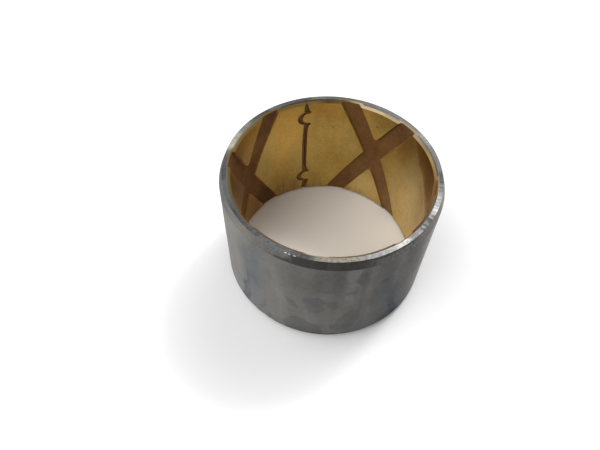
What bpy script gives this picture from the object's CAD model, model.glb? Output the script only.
import bpy, math
from mathutils import Matrix, Vector


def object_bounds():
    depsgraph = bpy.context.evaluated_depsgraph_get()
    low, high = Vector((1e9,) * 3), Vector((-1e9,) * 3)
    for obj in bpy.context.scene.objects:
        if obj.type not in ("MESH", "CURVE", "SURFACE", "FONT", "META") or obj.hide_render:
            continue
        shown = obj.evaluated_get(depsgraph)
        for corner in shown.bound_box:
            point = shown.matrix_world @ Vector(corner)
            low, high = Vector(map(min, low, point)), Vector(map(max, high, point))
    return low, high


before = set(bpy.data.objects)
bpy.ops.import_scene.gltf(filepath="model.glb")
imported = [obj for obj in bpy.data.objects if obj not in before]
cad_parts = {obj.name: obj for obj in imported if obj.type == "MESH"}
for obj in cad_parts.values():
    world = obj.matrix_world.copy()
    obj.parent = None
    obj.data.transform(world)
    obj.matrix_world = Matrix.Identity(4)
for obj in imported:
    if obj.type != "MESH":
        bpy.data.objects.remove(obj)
cad_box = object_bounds()
scene = bpy.context.scene

# Camera: looks down into the bore from the front left, with the lens and roll of a hand-held close-up.
camera = bpy.data.objects.new("camera", bpy.data.cameras.new("camera"))
scene.collection.objects.link(camera)
camera.data.sensor_width = 36.0
camera.data.lens = 31.34
camera.data.clip_start = 0.01
camera.data.clip_end = 100.0
stand = Vector((-0.055026, -0.147174, 0.234805))
right = Vector((0.9703, -0.240934, 0.021669))
up = Vector((0.18147, 0.784193, 0.593389))
back = Vector((-0.15996, -0.571833, 0.804624))
camera.matrix_world = Matrix((
    (right.x, up.x, back.x, stand.x),
    (right.y, up.y, back.y, stand.y),
    (right.z, up.z, back.z, stand.z),
    (0, 0, 0, 1)))
scene.camera = camera
scene.view_settings.view_transform = "Standard"

# Floor: a wide sheet of matt white paper that the bushing stands on.
# It runs far past every view, so it is the background too.
bpy.ops.mesh.primitive_plane_add(size=40)
floor = bpy.context.object
floor.name = "floor"
paper = bpy.data.materials.new("white_paper")
paper.use_nodes = True
sheet = paper.node_tree.nodes["Principled BSDF"]
sheet.inputs["Base Color"].default_value = (0.88, 0.88, 0.88, 1)
sheet.inputs["Roughness"].default_value = 0.9
floor.data.materials.append(paper)

# Room: a dim even room with a broad soft box high on the left and a narrower one behind on the right.
# Each glow is given by its azimuth, its height above the floor, its half width in degrees and its strength.
room = bpy.data.worlds.new("room")
room.use_nodes = True
scene.world = room
tree = room.node_tree


def wire(kind, settings=(), links=(), **fields):
    """Add one node to the tree in hand and give back its outputs."""
    node = tree.nodes.new(kind)
    for name, value in fields.items():
        setattr(node, name, value)
    for socket, value in settings:
        node.inputs[socket].default_value = value
    for socket, source in links:
        tree.links.new(source, node.inputs[socket])
    return node.outputs


def towards(azimuth, height):
    """Unit vector towards an azimuth and a height above the floor, both in degrees."""
    azimuth, height = math.radians(azimuth), math.radians(height)
    level = math.cos(height)
    return Vector((math.cos(azimuth) * level, math.sin(azimuth) * level, math.sin(height)))


soft_boxes = ((178.7, 43.8, 56.3, 2.32), (37.0, 47.0, 28.6, 4.0))
direction = wire("ShaderNodeTexCoord")["Generated"]
brightness = wire("ShaderNodeValue")[0]
brightness.default_value = 0.3
for azimuth, height, half_width, strength in soft_boxes:
    settings = [(1, towards(azimuth, height))]
    facing = wire("ShaderNodeVectorMath", settings, [(0, direction)], operation="DOT_PRODUCT")["Value"]
    settings = [("From Min", math.cos(math.radians(half_width))), ("From Max", 1), ("To Max", strength)]
    glow = wire("ShaderNodeMapRange", settings, [("Value", facing)], interpolation_type="SMOOTHSTEP")[0]
    brightness = wire("ShaderNodeMath", links=[(0, brightness), (1, glow)], operation="ADD")[0]
backdrop = tree.nodes["Background"]
backdrop.inputs["Color"].default_value = (1, 1, 1, 1)
tree.links.new(brightness, backdrop.inputs["Strength"])

# Key light: one soft lamp behind on the right, which throws the shadow to the front left.
key = bpy.data.objects.new("key", bpy.data.lights.new("key", "SUN"))
scene.collection.objects.link(key)
key.data.energy = 0.82
key.data.angle = math.radians(12)
key.rotation_euler = towards(34, 50).to_track_quat("Z", "Y").to_euler()

# Steel backing: low-carbon strip wrapped into a ring, turned outside and faced on both ends.
# The wall is dull grey with faint oil stains, the lead chamfers are darker, the faces are fresh cut.
half_length = cad_box[1][2] / 2
outside_radius = cad_box[1][0]
lead_chamfer_length = 0.004
steel = bpy.data.materials.new("turned_steel")
steel.use_nodes = True
tree = steel.node_tree
turned = tree.nodes["Principled BSDF"]
turned.inputs["Metallic"].default_value = 1.0
turned.inputs["Anisotropic"].default_value = 0.95
turned.inputs["Anisotropic Rotation"].default_value = 0.25
round_axis = wire("ShaderNodeTangent", direction_type="RADIAL", axis="Z")[0]
tree.links.new(round_axis, turned.inputs["Tangent"])


def math_node(operation, *values):
    """One sum on up to three values, each a number or another node's output."""
    node = tree.nodes.new("ShaderNodeMath")
    node.operation = operation
    for socket, value in zip(node.inputs, values):
        if isinstance(value, (int, float)):
            socket.default_value = value
        else:
            tree.links.new(value, socket)
    return node.outputs[0]


def ramp(value, start, end, low=0.0, high=1.0):
    """Let a value run smoothly from low to high between two of its own levels."""
    settings = [("From Min", start), ("From Max", end), ("To Min", low), ("To Max", high)]
    return wire("ShaderNodeMapRange", settings, [("Value", value)], interpolation_type="SMOOTHSTEP")[0]


def blend(amount, first, second):
    """Mix two colours, each a plain colour or another node's output."""
    node = tree.nodes.new("ShaderNodeMix")
    node.data_type = "RGBA"
    tree.links.new(amount, node.inputs["Factor"])
    for socket, value in zip((node.inputs[6], node.inputs[7]), (first, second)):
        if isinstance(value, tuple):
            socket.default_value = (*value, 1)
        else:
            tree.links.new(value, socket)
    return node.outputs[2]


def grain(where, stretch, detail=2.0, roughness=0.5, low=-1.0, high=1.0):
    """Noise that runs between two values, its scale along each axis given in waves per metre."""
    spread = wire("ShaderNodeMapping", [("Scale", stretch)], [("Vector", where)])[0]
    settings = [("Scale", 1.0), ("Detail", detail), ("Roughness", roughness)]
    wave = wire("ShaderNodeTexNoise", settings, [("Vector", spread)])[0]
    settings = [("From Min", 0.25), ("From Max", 0.75), ("To Min", low), ("To Max", high)]
    return wire("ShaderNodeMapRange", settings, [("Value", wave)], clamp=False)[0]


def ring_places(base):
    """Where a point lies: in space, on the strip unrolled from its base radius, along the lathe cut,
    and how far out and how far off the middle height."""
    place = wire("ShaderNodeTexCoord")["Object"]
    axes = wire("ShaderNodeSeparateXYZ", links=[(0, place)])
    level = wire("ShaderNodeCombineXYZ", links=[(0, axes["X"]), (1, axes["Y"])])[0]
    radius = wire("ShaderNodeVectorMath", links=[(0, level)], operation="LENGTH")["Value"]
    off_middle = math_node("ABSOLUTE", math_node("SUBTRACT", axes["Z"], half_length))
    turn = math_node("ARCTAN2", axes["X"], math_node("MULTIPLY", axes["Y"], -1))
    climb = math_node("SUBTRACT", math_node("ADD", axes["Z"], base), radius)
    round_strip = math_node("MULTIPLY", turn, outside_radius)
    unrolled = wire("ShaderNodeCombineXYZ", links=[(0, round_strip), (1, climb)])[0]
    cut = wire("ShaderNodeCombineXYZ", links=[(0, axes["X"]), (1, axes["Y"]), (2, climb)])[0]
    return place, unrolled, cut, radius, off_middle


def wobbled(where, waves, shift):
    """Push points about with noise, so that what is drawn on them gets ragged edges."""
    spread = wire("ShaderNodeMapping", [("Scale", (waves, waves, waves))], [("Vector", where)])[0]
    noise = wire("ShaderNodeTexNoise", [("Scale", 1.0), ("Detail", 3.0)], [("Vector", spread)])["Color"]
    push = wire("ShaderNodeVectorMath", [(1, (0.5, 0.5, 0.5))], [(0, noise)], operation="SUBTRACT")[0]
    push = wire("ShaderNodeVectorMath", [("Scale", shift)], [(0, push)], operation="SCALE")[0]
    return wire("ShaderNodeVectorMath", links=[(0, where), (1, push)], operation="ADD")[0]


def marks(where, spots):
    """Soft oval marks on the unrolled strip, the strongest one wherever they overlap.

    Each is given by azimuth, height, half width and half height in mm, tilt, softness and strength.
    A positive tilt leans its top towards lower azimuths."""
    strongest = 0.0
    for azimuth, height, half_width, half_height, tilt, softness, strength in spots:
        turn = math.radians((azimuth + 270) % 360 - 180)
        reach = 1 + softness
        settings = [("Location", (turn * outside_radius, height / 1000, 0)),
                    ("Rotation", (0, 0, math.radians(tilt))),
                    ("Scale", (reach * half_width / 1000, reach * half_height / 1000, reach))]
        local = wire("ShaderNodeMapping", settings, [("Vector", where)], vector_type="TEXTURE")[0]
        nearness = wire("ShaderNodeTexGradient", links=[("Vector", local)], gradient_type="SPHERICAL")["Fac"]
        strongest = math_node("MAXIMUM", ramp(nearness, 0, 2 * softness / reach, 0, strength), strongest)
    return strongest


def arcs(height, half_height, spots):
    """Upright marks at one height, each given by azimuth, half width, softness and strength."""
    return [(azimuth, height, half_width, half_height, 0, softness, strength)
            for azimuth, half_width, softness, strength in spots]


def darker(amount):
    """Turn a lightening shade into a darkening one."""
    return math_node("MULTIPLY", amount, -1)


def shaded(colour, *shades):
    """Multiply a colour by one plus the sum of some shades, though never by less than the darkest."""
    darkest = 0.3
    factor = 1.0
    for shade in shades:
        factor = math_node("ADD", shade, factor)
    factor = math_node("MAXIMUM", factor, darkest)
    return wire("ShaderNodeVectorMath", links=[(0, colour), ("Scale", factor)], operation="SCALE")[0]


place, unrolled, cut, radius, off_middle = ring_places(outside_radius)
chamfer_start = half_length - lead_chamfer_length
on_face = ramp(off_middle, half_length - 0.00004, half_length - 0.00001)
on_chamfer = ramp(off_middle, chamfer_start - 0.00005, chamfer_start + 0.00005)
ragged = wobbled(unrolled, 260, 0.0042)
soft_ragged = wobbled(unrolled, 90, 0.009)

# Wall: beige grey with neutral oil stains, drops and vertical smears.
# A little blue lies low down at the sides.
stains = marks(ragged, [
    (-112.8, 33.8, 5.2, 4.2, 0, 0.10, 1.0),
    (-112.2, 29.5, 4.1, 5.8, 0, 0.10, 1.0),
    (-103.3, 32.5, 2.6, 3.8, 0, 0.25, 0.7),
    (-94.5, 17, 5.0, 10.5, -18, 0.10, 0.9),
    (-120.5, 8.5, 7.2, 9.0, 0, 0.10, 0.95),
    (-112.5, 7.5, 4.4, 7.0, 0, 0.15, 0.9),
    (-101.5, 11.5, 2.0, 2.2, 0, 0.2, 0.9),
    (-127.8, 16, 1.3, 1.5, 0, 0.3, 0.8),
    (-95.8, 42.7, 2.7, 1.4, 0, 0.3, 1.0),
    (-105.5, 43.8, 4.4, 1.4, 0, 0.4, 0.6),
    (-124.4, 29.6, 1.6, 4.8, 37, 0.25, 0.9),
    (-78, 46, 2.2, 1.6, 0, 0.4, 0.5),
    (-102, 47, 2.0, 5.0, 0, 0.5, 0.6),
])
smears = marks(soft_ragged, [
    (-114, 53, 14, 9, 0, 0.4, 0.75),
    (-90, 53, 2.6, 8, 0, 0.35, 1.4),
    (-88.6, 38, 1.4, 14, 0, 0.5, 0.8),
    (-77, 30, 6, 34, 0, 0.5, 1.1),
    (-60, 34, 9, 34, 0, 0.5, 1.1),
    (-69, 22, 3.4, 24, 14, 0.5, 1.8),
    (-68, 6, 6, 7, 0, 0.6, 3.2),
    (-147, 42, 7, 24, 0, 0.5, 1.1),
    (-142.5, 34, 1.2, 4, 0, 0.5, 1.0),
    (-143, 44, 1.2, 3, 0, 0.5, 1.0),
    (-154, 22, 1.3, 18, -12, 0.5, 2.0),
    (-150.5, 30, 1.0, 13, -8, 0.5, 1.4),
    (-157, 7, 1.6, 7, -10, 0.5, 1.8),
])
glaze = marks(soft_ragged, [
    (-112, 20, 20, 22, 0, 0.4, 0.75),
    (-95.8, 36, 2.8, 9, 0, 0.4, 1.7),
    (-95.5, 54, 2.4, 9, 0, 0.4, 1.4),
    (-84.5, 16, 1.6, 15, 0, 0.5, 1.0),
    (-104, 20, 5, 5, 30, 0.6, 1.2),
    (-104, 15, 15, 20, 0, 0.7, 1.8),
    (-105, 13, 2.4, 5, 0, 0.6, 1.0),
    (-91, 33, 2.0, 7, 0, 0.6, 0.6),
    (-129, 24, 3.0, 22, 10, 0.6, 1.0),
    (-166, 32, 8, 36, 0, 0.6, 0.7),
])
cool = marks(soft_ragged, [
    (-71, 24, 7, 32, 12, 0.6, 0.9),
    (-150, 28, 7, 36, -8, 0.6, 0.9),
    (-84, 14, 3, 16, 0, 0.6, 0.6),
])
blue = marks(soft_ragged, [
    (-153, 9, 1.4, 9, -12, 0.6, 0.9),
    (-66, 12, 2.6, 14, 14, 0.6, 0.8),
    (-137, 6, 1.0, 3, 0, 0.6, 0.7),
    (-142, 12, 0.8, 8, -10, 0.6, 0.5),
])
beige_grey = (0.155, 0.152, 0.143)
cool_grey = (0.143, 0.147, 0.152)
stain_grey = (0.120, 0.122, 0.119)
blued_grey = (0.092, 0.093, 0.116)
wall = blend(cool, beige_grey, cool_grey)
wall = blend(stains, wall, stain_grey)
wall = blend(blue, wall, blued_grey)
mottle = grain(place, (110, 110, 75), 5, 0.65, -0.11, 0.11)
lines = grain(cut, (35, 35, 2600), 2, 0.6, -0.06, 0.06)
specks = grain(place, (1100, 1100, 1100), 2, 0.6, -0.10, 0.10)
streaks = grain(place, (190, 190, 14), 3, 0.6, -0.07, 0.07)
smears = math_node("MULTIPLY", smears, -0.17)
glaze = math_node("MULTIPLY", glaze, 0.15)
wall = shaded(wall, smears, glaze, mottle, streaks, lines, specks)

# Lead chamfer: the same steel under a film of dark oil, thickest in front.
# Dirt has gathered on the lower one.
film = marks(soft_ragged, [(-125, 61, 9, 2.6, 0, 0.4, 0.85)] + arcs(63.5, 14, [
    (-104, 14, 0.5, 0.72),
    (-116, 9, 0.3, 0.94),
    (-138, 10, 0.6, 0.3),
    (-46, 14, 0.6, 0.36),
]))
rust = grain(place, (330, 330, 330), 3, 0.7, -0.5, 1.1)
rust = math_node("ADD", rust, marks(unrolled, arcs(63.5, 14, [(-38, 12, 0.6, 0.8), (-150, 9, 0.6, 0.5)])))
burr = marks(ragged, [(-84, 66.0, 24, 0.7, 0, 0.5, 0.8), (-115, 66.1, 8, 0.4, 0, 0.5, 0.5)])
low_end = ramp(wire("ShaderNodeSeparateXYZ", links=[(0, place)])["Z"], 0.006, 0.003)
clean_cut = (0.160, 0.161, 0.161)
rusty_cut = (0.160, 0.145, 0.121)
oil_black = (0.053, 0.052, 0.051)
dirt_black = (0.04, 0.04, 0.041)
burr_brown = (0.085, 0.066, 0.05)
chamfer = blend(rust, clean_cut, rusty_cut)
chamfer = blend(film, chamfer, oil_black)
chamfer = blend(low_end, chamfer, dirt_black)
chamfer = blend(burr, chamfer, burr_brown)
least_torn = 0.35
torn = math_node("ADD", least_torn, marks(unrolled, [
    (-136, 64, 14, 20, 0, 0.6, 0.3),
    (-72, 64, 16, 20, 0, 0.6, 0.6),
    (-100, 70, 30, 5, 0, 0.3, 0.65),
]))
rough_cut = math_node("MULTIPLY", grain(place, (1000, 1000, 1000), 3, 0.7, -0.5, 0.5), torn)
rough_through_film = math_node("MULTIPLY", rough_cut, ramp(film, 0, 1, 1.0, 0.4))
chamfer = shaded(chamfer, mottle, lines, rough_through_film)

# End faces: bright cut metal with fine rings, a fresh streak in front and short chatter marks beside it.
fresh = marks(ragged, arcs(67.5, 9, [
    (-98, 14, 0.25, 1.6),
    (-78, 8, 0.3, 1.5),
    (-70, 4, 0.4, 2.0),
    (-37, 5, 0.4, 0.45),
    (10, 5, 0.5, 0.6),
    (67, 16, 0.5, 0.4),
    (82, 4, 0.5, 0.7),
    (145, 6, 0.4, 0.5),
]))
worn = marks(ragged, arcs(67.5, 9, [
    (-157, 12, 0.5, 0.45),
    (-140, 8, 0.5, 0.2),
    (180, 8, 0.5, 0.16),
    (-121, 5, 0.4, 0.2),
    (-52, 5, 0.4, 0.55),
    (-20, 4, 0.4, 0.5),
    (121, 7, 0.4, 0.52),
    (165, 10, 0.4, 0.48),
    (60, 10, 0.5, 0.3),
    (140, 7, 0.5, 0.24),
]))
yellowed = marks(ragged, arcs(67.5, 9, [
    (-103, 9, 0.5, 1.0),
    (62, 10, 0.5, 1.0),
    (18, 6, 0.5, 0.6),
    (84, 7, 0.5, 0.6),
    (124, 9, 0.5, 0.9),
    (147, 10, 0.5, 0.8),
]))
fresh = math_node("MULTIPLY", fresh, grain(place, (1100, 1100, 1100), 3, 0.8, 0.1, 1.9))
rings = grain(cut, (60, 60, 5200), 2, 0.7, -0.16, 0.16)
pitted = math_node("MULTIPLY", grain(place, (620, 620, 620), 3, 0.75, -0.45, 0.35), torn)
chatter = grain(unrolled, (850, 100, 60), 2, 0.6, -0.75, 1.1)
chatter = math_node("MULTIPLY", chatter, marks(unrolled, arcs(67.5, 9, [(-42, 16, 0.4, 1.0)])))
faced_grey = (0.172, 0.172, 0.170)
yellow_grey = (0.185, 0.172, 0.136)
face = blend(yellowed, faced_grey, yellow_grey)
face = shaded(face, fresh, darker(worn), rings, chatter, rough_cut, pitted)

# Glints: three bright nicks on the outer edge of the upper face.
# Joint: the steel that the bronze leaves bare along the joint is as brown as the grooves.
glints = marks(unrolled, [
    (-128.2, 66.4, 0.6, 0.22, 0, 0.3, 0.8),
    (-126.3, 66.3, 0.45, 0.2, 0, 0.3, 0.8),
    (-123.7, 66.3, 0.55, 0.22, 0, 0.3, 0.8),
])
near_bore = ramp(radius, 0.0478, 0.0476)
in_joint = math_node("MULTIPLY", near_bore, ramp(off_middle, 0.0318, 0.0314))
glint_white = (0.95, 0.95, 0.95)
joint_brown = (0.25, 0.125, 0.032)
colour = blend(on_chamfer, wall, chamfer)
colour = blend(on_face, colour, face)
colour = blend(glints, colour, glint_white)
colour = blend(in_joint, colour, joint_brown)
tree.links.new(colour, turned.inputs["Base Color"])
tree.links.new(ramp(in_joint, 0, 1, 1.0, 0.15), turned.inputs["Metallic"])
roughness = math_node("ADD", 0.5, math_node("MULTIPLY", mottle, -0.4))
tree.links.new(roughness, turned.inputs["Roughness"])
relief = wire("ShaderNodeBump", [("Strength", 0.3), ("Distance", 0.00002)], [("Height", lines)])[0]
tree.links.new(relief, turned.inputs["Normal"])
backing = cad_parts["steel_backing"]
for slot in backing.material_slots:
    slot.material = steel

# Bronze lining: sintered tin bronze on the strip, bored to size after wrapping, so its lands are bright.
# The grooves were pressed before boring and keep the brown of the raw strip.
bore_radius = 0.045
bore_chamfer = 0.0015
groove_floor_radius = 0.04605
bronze = bpy.data.materials.new("bored_bronze")
bronze.use_nodes = True
tree = bronze.node_tree
bored = tree.nodes["Principled BSDF"]
bored.inputs["Specular IOR Level"].default_value = 0.3
place, unrolled, cut, radius, off_middle = ring_places(bore_radius)
ragged = wobbled(unrolled, 200, 0.006)
chamfer_start = half_length - bore_chamfer
behind_chamfer = math_node("SUBTRACT", radius, off_middle)
chamfer_level = bore_radius - chamfer_start
behind_chamfer = ramp(behind_chamfer, chamfer_level + 0.00003, chamfer_level + 0.00015)
in_groove = math_node("MULTIPLY", ramp(radius, bore_radius + 0.00001, bore_radius + 0.00006), behind_chamfer)
on_groove_wall = ramp(radius, groove_floor_radius - 0.00005, groove_floor_radius - 0.00035)
on_face = ramp(off_middle, half_length - 0.00004, half_length - 0.00001)
on_chamfer = ramp(off_middle, chamfer_start - 0.00002, chamfer_start + 0.00006)
mottle = grain(place, (75, 75, 50), 5, 0.62, -0.14, 0.14)
lines = grain(cut, (30, 30, 2600), 2, 0.6, -0.03, 0.03)
specks = grain(place, (800, 800, 800), 3, 0.6, -0.11, 0.11)
dapple = grain(place, (260, 260, 180), 4, 0.65, -0.09, 0.09)

# Lands: golden, paler low down on the right and brighter on the left.
# They have a few pits, and dark drips at the bottom.
pale = marks(ragged, [
    (43, 10, 11, 9, 0, 0.6, 0.7),
    (18, 22, 9, 18, 0, 0.7, 0.5),
    (5, 40, 8, 30, 0, 0.6, 0.8),
    (-8, 46, 2, 14, -60, 0.4, 1.0),
])
tanned = marks(ragged, [
    (138, 10, 10, 12, 0, 0.5, 1.0),
    (150, 34, 7, 18, 0, 0.6, 0.9),
    (22, 54, 8, 11, 0, 0.6, 0.45),
    (72, 60, 14, 7, 0, 0.6, 0.4),
    (-8, 58, 9, 22, -62, 0.2, 0.6),
])
bright = marks(ragged, [
    (108, 46, 13, 20, 0, 0.6, 0.17),
    (97, 42, 6, 22, 0, 0.7, 0.08),
    (43, 10, 11, 9, 0, 0.6, 0.22),
    (8, 38, 14, 30, 0, 0.6, 0.15),
])
dull = marks(ragged, [
    (138, 12, 10, 12, 0, 0.5, 0.2),
    (43, 60, 8, 7, 0, 0.6, 0.15),
    (63, 42, 10, 22, 0, 0.7, 0.10),
    (-8, 58, 9, 22, -62, 0.15, 0.35),
    (157, 45, 12, 24, 0, 0.6, 0.25),
    (150, 28, 7, 12, 0, 0.5, 0.25),
    (106, 10, 10, 8, 0, 0.6, 0.13),
    (15, 52, 8, 12, 0, 0.6, 0.2),
])
pits = marks(unrolled, [
    (72, 48, 0.6, 0.7, 0, 0.4, 0.3),
    (55, 47, 0.5, 0.5, 0, 0.4, 0.3),
    (43, 55, 0.7, 0.7, 0, 0.4, 0.35),
    (65, 39, 0.4, 0.4, 0, 0.4, 0.3),
    (80, 27, 0.4, 0.4, 0, 0.4, 0.4),
    (113, 31, 0.5, 0.4, 0, 0.4, 0.4),
])
wet_edge = marks(ragged, [
    (104, 1, 8, 9, 0, 0.7, 0.75),
    (78, 0, 8, 6, 0, 0.7, 0.5),
    (50, 0, 8, 5, 0, 0.7, 0.5),
])
runs = ramp(grain(unrolled, (600, 75, 60), 3, 0.65, 0.0, 1.0), 0.25, 0.9)
drips = math_node("MULTIPLY", wet_edge, runs)
tint = grain(place, (60, 60, 28), 4, 0.6, -0.3, 1.3)
yellow_gold = (0.525, 0.378, 0.115)
orange_gold = (0.545, 0.345, 0.088)
pale_gold = (0.60, 0.455, 0.20)
tan_gold = (0.49, 0.245, 0.042)
drip_brown = (0.27, 0.11, 0.035)
land = blend(tint, yellow_gold, orange_gold)
land = blend(pale, land, pale_gold)
land = blend(tanned, land, tan_gold)
land = blend(drips, land, drip_brown)
land = shaded(land, bright, darker(dull), darker(pits), mottle, dapple, lines, specks)

# Groove floors: dull brown and grainy, dusty towards the lower right.
# The walls of the grooves are a little lighter.
dust = marks(ragged, [
    (45, 16, 16, 13, 0, 0.6, 0.5),
    (25, 9, 9, 10, 0, 0.6, 1.1),
    (124, 54, 10, 14, 0, 0.5, 1.1),
])
dark = marks(ragged, [
    (28, 60, 10, 10, 0, 0.6, 0.35),
    (152, 46, 8, 18, 0, 0.8, 0.2),
    (120, 5, 9, 12, 0, 0.6, 0.35),
    (123, 60, 8, 6, 0, 0.6, 0.1),
])
scuffed = marks(unrolled, [(145, 32, 25, 60, 0, 0.3, 1.0)])
sinter = grain(place, (1500, 1500, 1500), 2, 0.6, -0.2, 0.2)
patches = grain(place, (170, 170, 170), 4, 0.65, -0.2, 0.2)
floor_brown = (0.186, 0.088, 0.026)
dust_brown = (0.25, 0.135, 0.05)
wall_brown = (0.215, 0.107, 0.034)
scuffed_brown = (0.33, 0.172, 0.057)
pressed = blend(dust, floor_brown, dust_brown)
groove_wall = blend(scuffed, wall_brown, scuffed_brown)
pressed = blend(on_groove_wall, pressed, groove_wall)
pressed = shaded(pressed, mottle, patches, sinter, darker(dark))

# Bore chamfers: duller than the lands, greyer at the back and paler in front.
dulled = marks(ragged, arcs(63.5, 9, [(71, 8, 0.5, 0.62), (33, 6, 0.5, 0.3), (14, 14, 0.4, 0.45)]))
greyed = marks(ragged, arcs(63.5, 9, [(32, 28, 0.4, 1.0)]))
paled = marks(ragged, arcs(63.5, 9, [(-100, 70, 0.2, 1.0)]))
edge_gold = (0.42, 0.27, 0.085)
edge_grey = (0.285, 0.225, 0.135)
front_gold = (0.62, 0.47, 0.26)
end_bronze = (0.23, 0.20, 0.155)
edge = blend(greyed, edge_gold, edge_grey)
edge = blend(paled, edge, front_gold)
edge = shaded(edge, mottle, darker(dulled))
colour = blend(on_chamfer, land, edge)
colour = blend(in_groove, colour, pressed)
colour = blend(on_face, colour, end_bronze)
tree.links.new(colour, bored.inputs["Base Color"])
tree.links.new(ramp(in_groove, 0, 1, 0.32, 0.75), bored.inputs["Roughness"])
tree.links.new(ramp(in_groove, 0, 1, 1.0, 0.2), bored.inputs["Metallic"])
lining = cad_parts["bronze_lining"]
for slot in lining.material_slots:
    slot.material = bronze
